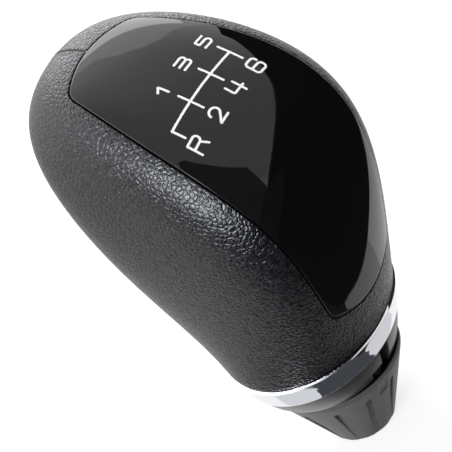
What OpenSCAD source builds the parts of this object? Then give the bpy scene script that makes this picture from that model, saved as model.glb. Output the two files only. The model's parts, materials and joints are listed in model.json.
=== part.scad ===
// Gear shift knob: a leather wrapped head with a glossy gate panel, standing on
// a chrome ring, a satin ring and a fluted collar that locks by a short turn.
// The origin is on the lever axis, where the steel socket's bore begins. +Z runs
// up the lever, +Y points to the front of the car and +X to its right.

/* [Lock collar] */
// Height of the tapered collar
collar_h = 20; // [16:0.5:26]
// Outer radius of the collar at its mouth
mouth_r = 7.5; // [7:0.1:9]
// How far the collar's rim stands out from the front of the satin ring
rim_out = 1.3; // [0.6:0.1:2]
// Wall of the collar, measured level
collar_wall = 2; // [1.6:0.1:2.4]
// Number of grip flutes round the collar
flute_count = 12; // [8:1:16]
// Width of a flute at its upper end
flute_top_w = 1.3; // [0.8:0.1:1.6]
// Width of a flute at the mouth
flute_low_w = 1.9; // [1.2:0.1:2.2]
// Depth of a flute at its upper end
flute_depth = 1.1; // [0.4:0.1:1.3]
// Depth of a flute where it runs out at the mouth
flute_low_depth = 0.3; // [0.1:0.05:0.4]
// Height of the flutes' round ends above the mouth
flute_h = 15.6; // [12:0.2:16]
// Turn from the locked to the open position, in degrees
lock_turn = 11; // [8:1:16]

/* [Rings] */
// Gap between the collar and the satin ring
joint_gap = 0.5; // [0.3:0.1:1]
// Height of the satin ring
satin_h = 6.5; // [6:0.1:9]
// How far the satin ring's lower edge draws in from the head's sides
satin_in_w = 5.5; // [3.5:0.1:6.5]
// How far the satin ring's lower edge draws in from the head's front
satin_in_d = 3.3; // [1.5:0.1:4]
// Height of the chrome ring
chrome_h = 6.3; // [5:0.1:9]
// How far the chrome ring draws in from its upper to its lower edge
chrome_taper = 1.4; // [0.6:0.1:2]
// Wall of the chrome ring
chrome_wall = 1.6; // [1.2:0.1:2]
// How far the chrome ring's face bows out
chrome_bow = 0.2; // [0:0.05:0.4]
// How far the satin ring's face bows out
satin_bow = 0.3; // [0:0.05:0.5]

/* [Head] */
// Half width of the head at its lower edge
seat_half_w = 22.2; // [21.5:0.1:26]
// Half depth of the head at its lower edge
seat_half_d = 18.1; // [17.6:0.1:22]
// Height of the nose above the head's lower edge
nose_h = 70; // [62:0.5:80]
// Reach of the nose in front of the lever axis
nose_reach = 32.3; // [27:0.1:38]
// Largest backward bow of the palm side, as a control height and depth
palm_bow = 33.6; // [29:0.1:38]
// Half width control of the head's lower third
waist_half_w = 23.3; // [21:0.1:27]
// Half width control of the head's middle
palm_half_w = 33.4; // [29:0.1:37]
// Half width control of the head's shoulders
shoulder_half_w = 24.3; // [21:0.1:28]
// How far the head's sections go from oval towards square
squareness = 0.1; // [0:0.01:0.14]
// Thickness of the leather cover
leather_t = 1.4; // [1:0.1:1.8]
// Depth of the front seam
seam_depth = 0.5; // [0.2:0.1:0.7]

/* [Gate panel] */
// Length of the panel, square to the draw direction
panel_len = 72; // [60:0.5:76]
// Half width of the panel's lower end
panel_low_half_w = 12.3; // [9:0.1:14]
// Half width of the panel's upper end
panel_top_half_w = 12.5; // [10:0.1:15]
// Half width control of the panel's sides
panel_side_half_w = 20.1; // [16:0.1:21]
// Thickness of the panel's wall
panel_t = 2.2; // [1.8:0.1:3]
// Gap between the panel and the leather
panel_gap = 0.35; // [0.2:0.05:0.6]
// Height of the panel above the leather
panel_proud = 0.15; // [0:0.05:0.4]
// Radius of the panel's clip pegs
peg_r = 1.6; // [1.2:0.1:2]

/* [Lever socket] */
// Radius of the lever that the knob is pushed onto
lever_r = 5; // [4:0.1:5.2]
// Wall of the steel socket
socket_wall = 1.95; // [1.6:0.05:2.2]
// Height of the socket's bore above the collar's mouth
socket_recess = 7.5; // [6:0.5:9]
// Length of the socket's bore
socket_len = 54.5; // [50:0.5:60]
// Radius of the lever clip's wire
wire_r = 0.6; // [0.4:0.05:0.8]

/* [Hidden] */

// Fits and small clearances
slide_fit = 0.1;
running_fit = 0.08;
loose_fit = 0.25;
seat_fit = 0.05;
round_fn = 64;
small_fn = 32;

// Levels, from the collar's mouth upwards
mouth_z = -socket_recess;
rim_z = mouth_z + collar_h;
satin_z = rim_z + joint_gap;
chrome_z = satin_z + satin_h;
seat_z = chrome_z + chrome_h;

// Outlines of the satin ring and the collar, which follow the head's seat
satin_half_w = seat_half_w - satin_in_w;
satin_half_d = seat_half_d - satin_in_d;
rim_r = satin_half_d + rim_out;
taper = (rim_r - mouth_r) / collar_h;

// Inner radius of the collar's tapered wall at a level
function collar_in_r(z) = mouth_r - collar_wall + taper * (z - mouth_z);

// Lever socket, carrier tube and what turns on it
bore_r = lever_r + 0.05;
socket_r = bore_r + socket_wall;
lead_in = 1;
socket_top = socket_len;
web_t = 3;
web_drop = 6;
web_z = rim_z - web_drop;
web_top = web_z + web_t;
tube_in_r = socket_r + slide_fit;
tube_wall = 0.43 * (collar_in_r(web_z) - tube_in_r);
tube_r = tube_in_r + tube_wall;
tube_drop = 8.5;
tube_z = rim_z - tube_drop;
spring_room = 1.4;
shoulder_z = web_top + spring_room;
lip_rise = 2.5;
lip_top = satin_z + lip_rise;
drum_z = lip_top + joint_gap;
mouth_wall = 1.6;
mouth_bore_r = mouth_r - mouth_wall;

// Shoulder and lip share the room between the carrier's tube and the collar's wall
lip_room = rim_r - collar_wall - tube_r;
shoulder_r = tube_r + 0.3 * lip_room;
lip_in_r = shoulder_r + 0.14 * lip_room;
lip_r = lip_in_r + 0.27 * lip_room;
drum_r = lip_r + loose_fit - slide_fit;
ring_bore_r = lip_r + loose_fit;

// Retaining ring under the collar's web, and the disc spring above it
snap_t = 1;
snap_play = 0.2;
snap_z = web_z - snap_play - snap_t;
snap_groove_r = tube_r - 0.45 * tube_wall;
snap_r = tube_r + 0.7 * tube_wall;
spring_t = 0.4;
spring_in_r = tube_r + 0.05 * lip_room;
spring_out_r = lip_in_r - 0.05 * lip_room;

// Index pin and its window, as angles about the lever axis from +X
window_deg = -90;
pin_deg = window_deg - lock_turn;
pin_r = 1.1;
pin_rise = 0.95;
pin_z = satin_z + pin_rise;
pin_room = 0.2;
pin_len = satin_half_d - lip_in_r - slide_fit;
pin_half_deg = asin((pin_r + pin_room) / satin_half_d);
window_half_deg = pin_half_deg;
window_bar = 0.6;
window_top = chrome_z - window_bar;
foot_top = pin_z + pin_r + pin_room;
recess_depth = 0.25;
recess_h = 0.29 * collar_h;

// Chrome ring's ovals and the carrier flange inside them
chrome_skew = 0.2;
chrome_low = [seat_half_w - chrome_taper - chrome_skew,
    seat_half_d - chrome_taper + chrome_skew];
satin_inset = 0.35;
low_edge_r = 0.25;
rim_edge_r = 0.5;
rim_lift = 0.15;
flange_step = 0.2;
flange_z = chrome_z + flange_step;
flange_gap = 0.15;
flange_w = chrome_low[0] - chrome_wall - flange_gap;
flange_d = chrome_low[1] - chrome_wall - flange_gap;

// Screws inside the flange's edge, whose heads sink into pockets beside the drum
head_r = 0.142 * flange_w;
screw_x = flange_w - 1.14 * head_r;
screw_r = 0.54 * head_r;
head_h = 0.7 * head_r;
screw_len = 4.8 * head_r;

// Damper, clip and stop, shared out along the socket above the seat
grip_len = socket_top - seat_z;
damper_z = seat_z + 0.05 * grip_len;
damper_len = 0.38 * grip_len;
damper_t = 2.4;
damper_r = socket_r + slide_fit + damper_t;
clip_z = seat_z + 0.59 * grip_len;
clip_half_w = bore_r + wire_r;
clip_room_r = damper_r + 2.5 * wire_r;
clip_room_h = 7 * wire_r;
stop_len = 2.3;
stop_gap = 0.2;
bore_len = socket_len - stop_len - stop_gap;
stop_r = bore_r + 0.3 * socket_wall;

// Profile of the head in the plane x = 0, as control points [y, height above seat]
nose_lean_y = 10.2;
nose_lean_z = -10.5;
nose_lean = [nose_lean_y, nose_lean_z];
crown_ratio = 1.1;
nose = [nose_reach, nose_h];
front_points = [[seat_half_d, 0], [0.833 * nose_reach, 0.273 * nose_h],
    [0.731 * nose_reach, 0.816 * nose_h], nose + nose_lean, nose];
rear_points = [[-seat_half_d, 0], [-palm_bow, 0.796 * nose_h],
    [-0.8125 * palm_bow, 0.804 * nose_h], nose - crown_ratio * nose_lean, nose];
girth_points = [seat_half_w, waist_half_w, palm_half_w, shoulder_half_w,
    0.992 * shoulder_half_w, 0];
square_points = [0, squareness * 4 / 3, squareness * 4 / 3, 0];

// Gate panel's outline, square to a draw direction that leans back by draw_deg
draw_deg = 45;
panel_v0 = -5.9;
low_corner_r = 2.8;
top_corner_r = 4.3;
low_sag = 2.4;
top_bow = 1.9;
prism_floor = 15;
glue_gap = 0.15;
peg_depth = 6;
peg_ratios = [0.16, 0.42, 0.7];
peg_deg = [20, 30, 25];

// Point on a Bezier curve through any number of control points
function bezier(points, t) = len(points) == 1
    ? points[0]
    : bezier([for (i = [0 : len(points) - 2]) points[i] * (1 - t) + points[i + 1] * t], t);

function unit(v) = v / norm(v);

// Point on the head's skin: t runs from the lower edge to the nose, a round it
function skin(t, a) = let (
    front = bezier(front_points, t),
    rear = bezier(rear_points, t),
    middle = (front + rear) / 2,
    half = (front - rear) / 2,
    q = bezier(square_points, t),
    along = cos(a) - q * (cos(3 * a) - cos(a)),
    across = -sin(a) - q * sin(3 * a))
    [bezier(girth_points, t) * across,
        middle[0] + half[0] * along,
        seat_z + middle[1] + half[1] * along];

// Outward normal of the skin, held level along the lower edge
function skin_normal(t, a) = let (
    u = min(t, 0.98),
    p = skin(u, a),
    up = skin(u + 0.01, a) - p,
    round = skin(u, a + 1) - p,
    n = unit(cross(round, up)))
    t == 0 ? unit([n[0], n[1], 0]) : n;

function nose_normal() = unit([0, -nose_lean[1], nose_lean[0]]);

// Angles round a section, with a narrow pair of steps beside the seam
function seam_step(t) = min(5, 0.5 / max(bezier(girth_points, t), 0.5) * 57.3);
function section_angles(t, count) = let (s = seam_step(t), step = 360 / count) concat(
    [0, s],
    [for (i = [1 : count / 2 - 1]) i * step],
    [180 - s, 180, 180 + s],
    [for (i = [count / 2 + 1 : count - 1]) i * step],
    [360 - s]);

// The seam runs up the front and over the nose to the panel
function seam_cut(t, a, depth) = a == 0 || (a == 180 && t > 0.7) ? depth : 0;

// Solid head with its skin moved inwards by inset and its base lowered by drop
module head_solid(inset, drop, rings, count, groove = 0) {
    side = len(section_angles(0, count));
    levels = [for (i = [0 : rings - 1]) 1 - pow(1 - i / rings, 1.25)];
    base = [for (a = section_angles(0, count))
        skin(0, a) - inset * skin_normal(0, a) - [0, 0, drop]];
    body = [for (t = levels) for (a = section_angles(t, count))
        skin(t, a) - (inset + seam_cut(t, a, groove)) * skin_normal(t, a)];
    tip = [skin(1, 0) - (inset + groove) * nose_normal()];
    low = drop > 0 ? base : [];
    points = concat(low, body, tip);
    stacks = len(points) / side;
    layers = floor(stacks);
    walls = [for (k = [0 : layers - 2]) for (i = [0 : side - 1]) let (j = (i + 1) % side)
        each [[k * side + i, (k + 1) * side + j, k * side + j],
            [k * side + i, (k + 1) * side + i, (k + 1) * side + j]]];
    top = (layers - 1) * side;
    fan = [for (i = [0 : side - 1]) [top + i, len(points) - 1, top + (i + 1) % side]];
    floor_face = [[for (i = [0 : side - 1]) i]];
    polyhedron(points, concat(walls, fan, floor_face), convexity = 6);
}

// Outline of the gate panel, drawn in by margin
function arc_points(centre, r, from, to, steps) = [for (i = [0 : steps])
    centre + r * [cos(from + (to - from) * i / steps), sin(from + (to - from) * i / steps)]];

function panel_half(margin) = let (
    sides = [panel_low_half_w, panel_side_half_w, panel_side_half_w, panel_top_half_w],
    low = panel_v0 + low_corner_r,
    high = panel_v0 + panel_len - top_corner_r,
    low_deg = atan2(3 * (sides[0] - sides[1]), high - low),
    top_deg = atan2(3 * (sides[2] - sides[3]), high - low),
    low_centre = [sides[0], low] - low_corner_r * [cos(low_deg), sin(low_deg)],
    top_centre = [sides[3], high] - top_corner_r * [cos(top_deg), sin(top_deg)],
    low_end = low_centre[1] - low_corner_r,
    top_end = top_centre[1] + top_corner_r)
    concat(
        [for (i = [0 : 3]) let (u = i / 4)
            [low_centre[0] * u, low_end + margin - low_sag * (1 - u * u)]],
        arc_points(low_centre, low_corner_r - margin, -90, low_deg, 4),
        [for (i = [1 : 13]) let (u = i / 14)
            [bezier(sides, u) - margin, low + (high - low) * u]],
        arc_points(top_centre, top_corner_r - margin, top_deg, 90, 5),
        [for (i = [1 : 4]) let (u = 1 - i / 4)
            [top_centre[0] * u, top_end - margin + top_bow * (1 - u * u)]]);

module panel_prism(margin) {
    half = panel_half(margin);
    last = len(half) - 1;
    mirrored = [for (i = [last - 1 : -1 : 1]) [-half[i][0], half[i][1]]];
    reach = 3 * nose_h;
    intersection() {
        translate([0, 0, seat_z])
            rotate([draw_deg, 0, 0])
                translate([0, 0, prism_floor])
                    linear_extrude(reach)
                        polygon(concat(half, mirrored));
        translate([-reach / 2, 0.8 * nose_reach - reach, 0])
            cube([reach, reach, reach]);
    }
}

// Pegs behind the panel, along the draw direction
module panel_pegs(r, extra) {
    for (i = [0 : len(peg_ratios) - 1])
        for (side = [-1, 1])
            translate(skin(peg_ratios[i], 180 + side * peg_deg[i]))
                rotate([draw_deg, 0, 0])
                    translate([0, 0, -peg_depth - extra])
                        cylinder(h = peg_depth + extra, r = r, $fn = small_fn);
}

// Ring's outer face from a lower to an upper [height, half width, half depth],
// bowed out by bow and rounded at its two edges
function ring_face(low, high, bow, low_edge, high_edge) = let (
    rise = high[0] - low[0],
    from = low_edge / rise,
    to = 1 - high_edge / rise,
    corner = 1 - sqrt(0.5))
    concat(
        [low - low_edge * [0, 1, 1], low + low_edge * corner * [1, -1, -1]],
        [for (i = [0 : 4]) let (s = from + (to - from) * i / 4)
            low + (high - low) * s + bow * 4 * s * (1 - s) * [0, 1, 1]],
        [high - high_edge * corner * [1, 1, 1], high - high_edge * [0, 1, 1]]);

// Closed loop of level ovals, each given as [height, half width, half depth]
module oval_loop(levels, count = 64) {
    points = [for (l = levels) for (i = [0 : count - 1]) let (a = 360 * i / count)
        [l[1] * cos(a), l[2] * sin(a), l[0]]];
    faces = [for (k = [0 : len(levels) - 1]) for (i = [0 : count - 1]) let (
        n = (k + 1) % len(levels),
        j = (i + 1) % count)
        each [[k * count + i, n * count + j, k * count + j],
            [k * count + i, n * count + i, n * count + j]]];
    polyhedron(points, faces, convexity = 4);
}

// Solid stack of level ovals
module oval_stack(levels, count = 64) {
    points = [for (l = levels) for (i = [0 : count - 1]) let (a = 360 * i / count)
        [l[1] * cos(a), l[2] * sin(a), l[0]]];
    last = (len(levels) - 1) * count;
    walls = [for (k = [0 : len(levels) - 2]) for (i = [0 : count - 1]) let (
        j = (i + 1) % count)
        each [[k * count + i, (k + 1) * count + j, k * count + j],
            [k * count + i, (k + 1) * count + i, (k + 1) * count + j]]];
    ends = [[for (i = [0 : count - 1]) i], [for (i = [count - 1 : -1 : 0]) last + i]];
    polyhedron(points, concat(walls, ends), convexity = 4);
}

module tube(z, h, outer, inner) {
    translate([0, 0, z])
        difference() {
            cylinder(h = h, r = outer, $fn = round_fn);
            translate([0, 0, -1])
                cylinder(h = h + 2, r = inner, $fn = round_fn);
        }
}

module grip_cover() {
    color("#2b2c2e")
        difference() {
            head_solid(0, 0, 26, 40, seam_depth);
            head_solid(leather_t, 2, 26, 40);
            panel_prism(0);
        }
}

module grip_core() {
    color("#3a3d40")
        difference() {
            union() {
                difference() {
                    head_solid(leather_t + glue_gap, 0, 20, 32);
                    panel_prism(-glue_gap);
                }
                head_solid(panel_t + glue_gap, 0, 20, 32);
            }
            panel_pegs(peg_r + slide_fit, slide_fit);
            core_bores();
        }
}

// Stepped bore for the socket, its damper and clip, and the screws' pilot holes
module core_bores() {
    translate([0, 0, seat_z - 1])
        cylinder(h = damper_z + damper_len + 1 - seat_z, r = damper_r + slide_fit, $fn = round_fn);
    translate([0, 0, clip_z - clip_room_h / 2])
        cylinder(h = clip_room_h, r = clip_room_r, $fn = round_fn);
    translate([0, 0, seat_z])
        cylinder(h = socket_top + slide_fit - seat_z, r = socket_r + slide_fit, $fn = round_fn);
    for (x = [-screw_x, screw_x])
        translate([x, 0, seat_z - 1])
            cylinder(h = screw_len, r = screw_r + seat_fit, $fn = small_fn);
}

module gate_panel() {
    color("#0b0b0d")
        union() {
            difference() {
                intersection() {
                    head_solid(-panel_proud, 0, 26, 40);
                    panel_prism(panel_gap);
                }
                head_solid(panel_t, 0, 20, 32);
            }
            intersection() {
                head_solid(panel_t / 2, 0, 10, 20);
                panel_pegs(peg_r, 0);
            }
        }
}

module trim_ring() {
    top = seat_z - 0.1;
    low = [chrome_z, chrome_low[0], chrome_low[1]];
    high = [top, seat_half_w + rim_lift, seat_half_d + rim_lift];
    wall = chrome_wall * [0, 1, 1];
    color("#d9dbde")
        oval_loop(concat(
            [low - wall],
            ring_face(low, high, chrome_bow, low_edge_r, rim_edge_r),
            [[top, seat_half_w, seat_half_d] - wall]));
}

module lower_ring() {
    low = [satin_z, satin_half_w, satin_half_d];
    high = [chrome_z - seat_fit, chrome_low[0] - satin_inset, chrome_low[1] - satin_inset];
    color("#8b8d90")
        difference() {
            oval_stack(ring_face(low, high, satin_bow, low_edge_r, low_edge_r));
            translate([0, 0, satin_z - 1])
                cylinder(h = satin_h + 2, r = ring_bore_r, $fn = round_fn);
            ring_window();
        }
}

// Angled window: an upright slot with a foot in which the index pin travels
module ring_window() {
    foot_from = pin_deg - pin_half_deg;
    slot_from = window_deg - window_half_deg;
    slot_to = window_deg + window_half_deg;
    window_sector(foot_from, slot_to, satin_z - 1, foot_top);
    window_sector(slot_from, slot_to, satin_z - 1, window_top);
}

module window_sector(from, to, low, high) {
    reach = 2 * satin_half_w;
    translate([0, 0, low])
        linear_extrude(high - low)
            polygon([[0, 0],
                reach * [cos(from), sin(from)],
                reach * [cos((from + to) / 2), sin((from + to) / 2)] / cos((to - from) / 2),
                reach * [cos(to), sin(to)]]);
}

module neck_carrier() {
    top_w = seat_half_w - chrome_wall - flange_gap;
    top_d = seat_half_d - chrome_wall - flange_gap;
    flange_top = seat_z - seat_fit;
    color("#1c1d1f")
        difference() {
            union() {
                oval_stack([[flange_z, flange_w, flange_d], [flange_top, top_w, top_d]]);
                translate([0, 0, drum_z])
                    cylinder(h = flange_z + 1 - drum_z, r = drum_r, $fn = round_fn);
                translate([0, 0, shoulder_z])
                    cylinder(h = drum_z + 1 - shoulder_z, r = shoulder_r, $fn = round_fn);
                translate([0, 0, tube_z])
                    cylinder(h = shoulder_z + 1 - tube_z, r = tube_r, $fn = round_fn);
            }
            translate([0, 0, tube_z - 1])
                cylinder(h = seat_z + 2 - tube_z, r = tube_in_r, $fn = round_fn);
            tube(snap_z - seat_fit, snap_t + 2 * seat_fit, tube_r + 1, snap_groove_r);
            for (x = [-screw_x, screw_x]) {
                translate([x, 0, flange_z - 1])
                    cylinder(h = seat_z + 2 - flange_z, r = screw_r + slide_fit, $fn = small_fn);
                translate([x, 0, flange_z - 1])
                    cylinder(h = head_h + 1 + flange_step, r = head_r + slide_fit, $fn = small_fn);
            }
        }
}

module lever_socket() {
    slot_h = 2 * wire_r + 0.2;
    color("#9a9da1")
        difference() {
            tube(-lead_in, socket_len + lead_in, socket_r, bore_r);
            translate([0, 0, -lead_in])
                cylinder(h = lead_in, r1 = bore_r + lead_in, r2 = bore_r, $fn = round_fn);
            translate([0, 0, bore_len])
                cylinder(h = socket_len, r = stop_r, $fn = round_fn);
            for (side = [-1, 1])
                translate([side * (clip_half_w - wire_r - 0.1 + socket_r) - socket_r, -socket_r,
                    clip_z - slot_h / 2])
                    cube([2 * socket_r, 2 * socket_r, slot_h]);
        }
}

module damper_sleeve() {
    color("#232323")
        tube(damper_z, damper_len, damper_r, socket_r + seat_fit);
}

// U of spring wire, as it stands when a lever holds its legs apart
module lever_clip() {
    leg = lever_r;
    bend_y = 0.9 * lever_r;
    color("#b5b8bb")
        translate([0, 0, clip_z]) {
            for (x = [-clip_half_w, clip_half_w])
                translate([x, -leg, 0])
                    rotate([-90, 0, 0])
                        cylinder(h = leg + bend_y, r = wire_r, $fn = small_fn);
            translate([0, bend_y, 0])
                rotate_extrude(angle = 180, $fn = round_fn)
                    translate([clip_half_w, 0])
                        circle(r = wire_r, $fn = small_fn);
        }
}

module end_stop() {
    color("#303030")
        translate([0, 0, socket_top - stop_len])
            cylinder(h = stop_len, r = stop_r - seat_fit, $fn = round_fn);
}

module carrier_screws() {
    head_z = flange_z + flange_step;
    color("#6f7275")
        for (x = [-screw_x, screw_x])
            translate([x, 0, head_z])
                difference() {
                    union() {
                        cylinder(h = head_h, r = head_r, $fn = small_fn);
                        cylinder(h = head_h + screw_len, r = screw_r, $fn = small_fn);
                    }
                    translate([0, 0, -head_h])
                        cylinder(h = 1.6 * head_h, r = 0.55 * head_r, $fn = 6);
                }
}

module disc_spring() {
    low = web_top + seat_fit;
    high = shoulder_z - seat_fit;
    color("#a7aaae")
        rotate_extrude($fn = round_fn)
            polygon([[spring_in_r, high - spring_t], [spring_out_r, low],
                [spring_out_r, low + spring_t], [spring_in_r, high]]);
}

// Open spring ring in the carrier's groove
module retaining_ring() {
    gap = 4;
    color("#8c8f93")
        difference() {
            tube(snap_z, snap_t, snap_r, snap_groove_r + seat_fit);
            translate([0, -gap / 2, snap_z - 1])
                cube([2 * snap_r, gap, snap_t + 2]);
        }
}

module lock_collar() {
    web_low = web_z - mouth_z;
    web_high = web_top - mouth_z;
    floor_h = 2.5;
    color("#55585b")
        difference() {
            translate([0, 0, mouth_z])
                rotate_extrude($fn = round_fn)
                    polygon([
                        [mouth_bore_r, 0],
                        [mouth_r - 0.4, 0],
                        [mouth_r, 0.4],
                        [rim_r - 0.2 * taper, collar_h - 0.3],
                        [rim_r - 0.4, collar_h],
                        [rim_r - collar_wall + 0.5, collar_h],
                        [rim_r - collar_wall, collar_h - 0.8],
                        [collar_in_r(web_top), web_high],
                        [lip_r, web_high],
                        [lip_r, lip_top - mouth_z],
                        [lip_in_r, lip_top - mouth_z],
                        [lip_in_r, web_high],
                        [tube_r + running_fit, web_high],
                        [tube_r + running_fit, web_low],
                        [collar_in_r(web_z), web_low],
                        [collar_in_r(mouth_z + floor_h), floor_h],
                        [mouth_bore_r, floor_h - 0.7]]);
            for (i = [0 : flute_count - 1])
                rotate([0, 0, 360 * i / flute_count])
                    flute();
            index_recess();
            pin_at(pin_r - seat_fit, 1);
        }
}

// One flute, cut square to the tapered wall, with a round upper end. Its floor
// rises towards the mouth, so that it runs out there.
module flute() {
    lean = atan(taper);
    length = (flute_h + 2) / cos(lean);
    run_out = atan((flute_depth - flute_low_depth) * cos(lean) / flute_h);
    translate([mouth_r + taper * flute_h, 0, mouth_z + flute_h])
        rotate([0, lean, 0])
            translate([-flute_depth, 0, 0])
                rotate([0, 90 - run_out, 0]) {
                    cylinder(h = 2 * flute_depth, r = flute_top_w / 2, $fn = small_fn);
                    linear_extrude(2 * flute_depth)
                        polygon([[0, -flute_top_w / 2], [length, -flute_low_w / 2],
                            [length, flute_low_w / 2], [0, flute_top_w / 2]]);
                }
}

// Shallow flat under the index pin that marks its place
module index_recess() {
    lean = atan(taper);
    rotate([0, 0, pin_deg - 1.5])
        translate([rim_r, 0, rim_z])
            rotate([0, lean, 0])
                translate([-recess_depth, -pin_r - pin_room, -recess_h])
                    cube([4 * recess_depth, 2 * (pin_r + pin_room), 2 * recess_h]);
}

module pin_at(r, extra) {
    rotate([0, 0, pin_deg])
        translate([lip_in_r + 0.1 - extra, 0, pin_z])
            rotate([0, 90, 0])
                cylinder(h = pin_len + extra, r = r, $fn = small_fn);
}

module index_pin() {
    color("#151617")
        pin_at(pin_r - seat_fit, 0);
}

grip_cover();
grip_core();
gate_panel();
trim_ring();
lower_ring();
neck_carrier();
lever_socket();
damper_sleeve();
lever_clip();
end_stop();
carrier_screws();
disc_spring();
retaining_ring();
lock_collar();
index_pin();
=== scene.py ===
import json
import math

import bmesh
import bpy
import numpy as np
from mathutils import Matrix, Vector

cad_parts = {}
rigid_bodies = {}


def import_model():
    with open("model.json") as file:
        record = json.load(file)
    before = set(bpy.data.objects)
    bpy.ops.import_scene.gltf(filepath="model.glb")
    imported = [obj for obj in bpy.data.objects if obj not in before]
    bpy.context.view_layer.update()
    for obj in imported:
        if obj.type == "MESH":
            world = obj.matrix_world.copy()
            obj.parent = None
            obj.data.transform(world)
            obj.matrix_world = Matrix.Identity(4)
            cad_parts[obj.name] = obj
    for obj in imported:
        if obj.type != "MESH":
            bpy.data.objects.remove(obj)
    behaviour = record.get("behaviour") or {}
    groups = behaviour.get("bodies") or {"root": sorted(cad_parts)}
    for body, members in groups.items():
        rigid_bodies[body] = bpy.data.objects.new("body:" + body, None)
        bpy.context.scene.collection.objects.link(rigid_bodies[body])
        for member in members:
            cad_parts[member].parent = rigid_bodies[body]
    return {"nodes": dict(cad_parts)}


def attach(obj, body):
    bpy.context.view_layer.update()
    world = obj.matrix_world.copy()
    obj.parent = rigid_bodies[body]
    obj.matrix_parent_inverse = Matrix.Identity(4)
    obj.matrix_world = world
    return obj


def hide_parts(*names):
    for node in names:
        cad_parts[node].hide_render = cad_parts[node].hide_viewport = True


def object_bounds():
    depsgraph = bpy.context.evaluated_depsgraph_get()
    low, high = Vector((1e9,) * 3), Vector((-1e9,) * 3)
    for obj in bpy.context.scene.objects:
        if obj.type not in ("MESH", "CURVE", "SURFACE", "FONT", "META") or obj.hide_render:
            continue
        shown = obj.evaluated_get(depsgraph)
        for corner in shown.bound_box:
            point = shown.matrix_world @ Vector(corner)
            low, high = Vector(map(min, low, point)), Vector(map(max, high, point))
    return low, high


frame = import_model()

# Looks of the gear shift knob. Shapes are worked out in millimetres in the CAD's
# frame and turned into metres when a mesh is made.

CAD_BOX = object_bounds()
MM = 0.001

# Head: the same loft as the CAD, as control points of its profile and girth
SEAT_Z = 25.8
NOSE = np.array([32.3, 70.0])
NOSE_LEAN = np.array([10.2, -10.5])
FRONT = [(18.1, 0), (26.91, 19.11), (23.61, 57.12), NOSE + NOSE_LEAN, NOSE]
REAR = [(-18.1, 0), (-33.6, 55.72), (-27.3, 56.28), NOSE - 1.1 * NOSE_LEAN, NOSE]
GIRTH = [(22.2,), (23.3,), (33.4,), (24.3,), (24.106,), (0,)]
SQUARE = [(0,), (0.4 / 3,), (0.4 / 3,), (0,)]
HEAD_MIDDLE = np.array([0, 2, 63.8])

# Gate panel's outline, square to a draw direction that leans back by 45 degrees
PANEL_V0 = -5.9
PANEL_LEN = 72
PANEL_SIDES = [(12.3,), (20.1,), (20.1,), (12.5,)]
LOW_CORNER_R = 3.6
TOP_CORNER_R = 4.3
LOW_TURN = math.radians(62.5)
TOP_TURN = math.radians(66)
PANEL_GAP = 0.22
PANEL_PROUD = 0.12
PANEL_EDGE_R = 0.2
PANEL_FAN = 12  # how far its middle line stays from its ends

# Leather cover
LEATHER_EDGE_R = 0.36
LEATHER_RIM_R = 0.9
SEAM_DEPTH = 0.45

# Rings and collar, as heights from the socket's bore
COLLAR_Z = -7.5
COLLAR_H = 20
MOUTH_R = 7.5
RIM_R = 16.1
FLUTES = 12
FLUTE_H = 15.6
FLUTE_DEPTH = 1.1
FLUTE_TOP_W = 1.25
FLUTE_LOW_W = 1.7
SATIN_Z = 13
CHROME_Z = 19.5
SEAT_HALF = np.array([22.2, 18.1])
CHROME_LOW = np.array([20.6, 16.9])
SATIN_LOW = np.array([16.7, 14.8])
SATIN_TOP = np.array([20.25, 16.55])
RING_BORE_R = 12.87
RING_GAP = 0.05
SATIN_WALL = 0.8
CHROME_WALL = 1.6
CHROME_BOW = 0.08
BEVEL_W = 0.64
BEVEL_H = 0.35
SATIN_BOW = 0.3
WINDOW_DEG = -90
WINDOW_HALF_DEG = 5.04
WINDOW_TOP = 18.9
FOOT_TOP = 15.25
PIN_DEG = -101
RECESS_DEPTH = 0.35
RECESS_HALF_W = 1.35
RECESS_LOW = 14.3
RECESS_SHIFT_DEG = 1.5
RECESS_EDGE_W = 0.12

# Collar's profile, as radius and height above its mouth, but for its tapered wall
COLLAR_FOOT = [(5.9, 0.25), (5.95, 0.08), (6.1, 0), (6.6, 0), (7.15, 0), (7.35, 0.06), (7.45, 0.2)]
COLLAR_RIM = [(15.78, 19.5), (15.82, 19.9), (15.81, 20.15), (15.75, 20.22), (15.45, 20.25),
              (15.3, 20.2), (15.2, 20), (15, 19.2)]
COLLAR_INSIDE = [(14.2, 17.6), (13.8, 17), (12.93, 17), (12.6, 17), (12.6, 22.85), (12.45, 23),
                 (11.35, 23), (11.2, 22.85), (11.2, 17), (9.08, 17), (9.08, 14), (11.52, 14),
                 (6.6, 2.5), (5.9, 1.8), (5.9, 0.25)]
RIM_ROWS = 5  # rows of the rim that keep the wall's grey
FOOT_ROWS = 3  # rows of the foot that the flutes don't reach
SECTOR = 360 / FLUTES

# Flute's soft edge, and the painted shade at its upper end: a near-black spot standing in for the
# shadow in the deep slot
FLUTE_EDGE_OUT = 0.06
FLUTE_EDGE_W = 0.16
SHADE_DEPTH = 0.72
SHADE_DROP = 0.9
SHADE_CLEAR = 2  # from the middle of the recess

# Gate pattern on the panel: right of the middle, and up along the skin, in mm
PATTERN_T = 0.591
GATES = [-11.55, -3.77, 3.97, 10.72]
GATE_UP = 2.62
GATE_DOWN = 2.9
PRINT_W = 0.5
PRINT_LIFT = 0.02
GLYPH_PLACES = {"1": (-3.76, 6.02), "3": (3.75, 5.99), "5": (10.55, 5.7),
                "R": (-11.48, -5.68), "2": (-3.72, -5.88), "4": (3.75, -5.93), "6": (10.57, -5.93)}

# Studio: powers of the lamps, strength of the world's fill, greys of the floor
KEY = 3.4
TOP = 5.0
FILL = 0.35
FLOOR_LIT = 0.75
FLOOR_SEEN = 0.4
FLOOR_GLOW = 0.75
LAMP_REACH = 0.8
SKY_REACH = 1.5
DARK = (0.02, 0.02, 0.02)

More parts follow.
